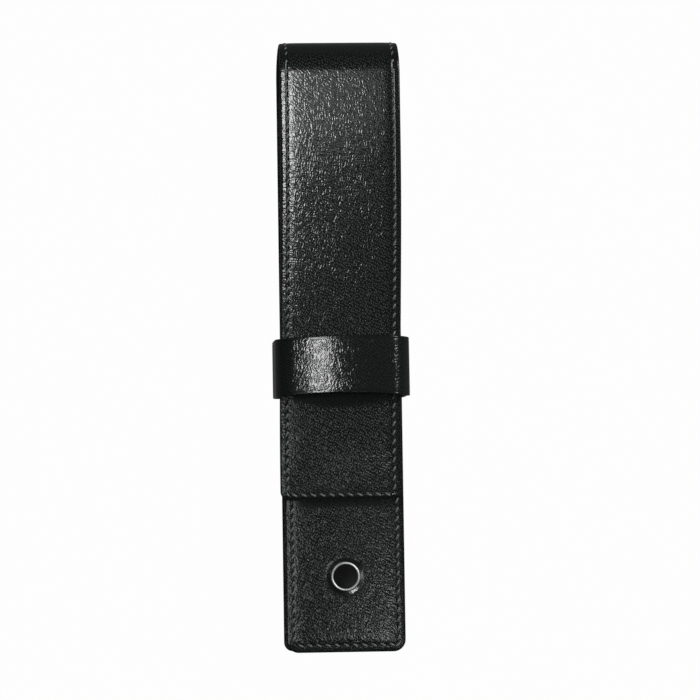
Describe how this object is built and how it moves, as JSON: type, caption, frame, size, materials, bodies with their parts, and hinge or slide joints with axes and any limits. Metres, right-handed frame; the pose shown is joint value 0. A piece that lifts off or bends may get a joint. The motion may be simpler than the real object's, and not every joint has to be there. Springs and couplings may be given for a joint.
{
  "type": "fountain pen case",
  "caption": "Slim leather pouch for a fountain pen: a fold-over padded flap tucks under a sliding leather loop, with a small round metal emblem on the lower front.",
  "frame": {"origin": "under the middle of the case's length and width, on the plane that the loop's back rests on", "axes": "+Z out of the front of the case, +Y along it towards the fold, +X across it"},
  "size_m": [0.0356, 0.1622, 0.0253],
  "materials": {
    "calf_leather": "satin",
    "band_lining_leather": "matte",
    "lining": "matte",
    "board": "matte",
    "padding": "matte",
    "thread": "satin",
    "polished_metal": "polished",
    "washer_metal": "satin",
    "black_resin": "gloss"
  },
  "bodies": {
    "pouch": {"back_leather": "calf_leather", "back_board": "board", "back_lining": "lining", "gusset_leather": "calf_leather", "gusset_lining": "lining", "front_leather": "calf_leather", "front_board": "board", "front_lining": "lining", "front_seam_thread": "thread", "back_seam_thread": "thread", "emblem_bezel": "polished_metal", "emblem_disc": "black_resin", "emblem_washer": "washer_metal"},
    "fold_back": {"fold_back_leather": "calf_leather", "fold_back_lining": "lining", "fold_back_thread": "thread"},
    "fold_front": {"fold_front_leather": "calf_leather", "fold_front_lining": "lining", "fold_front_thread": "thread"},
    "flap": {"flap_leather": "calf_leather", "flap_padding": "padding", "flap_lining": "lining", "flap_thread": "thread"},
    "band": {"band_leather": "calf_leather", "band_lining": "band_lining_leather"}
  },
  "joints": [
    {"name": "band_slide", "type": "slide", "parent": "pouch", "child": "band", "axis": [0, 1, 0], "range_m": [-0.085, 0.062]},
    {"name": "flap_open", "type": "hinge", "parent": "pouch", "child": "fold_back", "pos_m": [0, 0.0719, 0.002], "axis": [-1, 0, 0], "range_deg": [0, 33], "deforming": ["band_leather", "band_lining"]},
    {"name": "fold_bend", "type": "hinge", "parent": "fold_back", "child": "fold_front", "pos_m": [0, 0.081, 0.0111], "axis": [-1, 0, 0], "range_deg": [0, 66]},
    {"name": "flap_bend", "type": "hinge", "parent": "fold_front", "child": "flap", "pos_m": [0, 0.0719, 0.0202], "axis": [-1, 0, 0], "range_deg": [0, 33]}
  ],
  "couplings": [
    {"joint": "fold_bend", "follows": "flap_open", "ratio": 2},
    {"joint": "flap_bend", "follows": "flap_open", "ratio": 1}
  ]
}
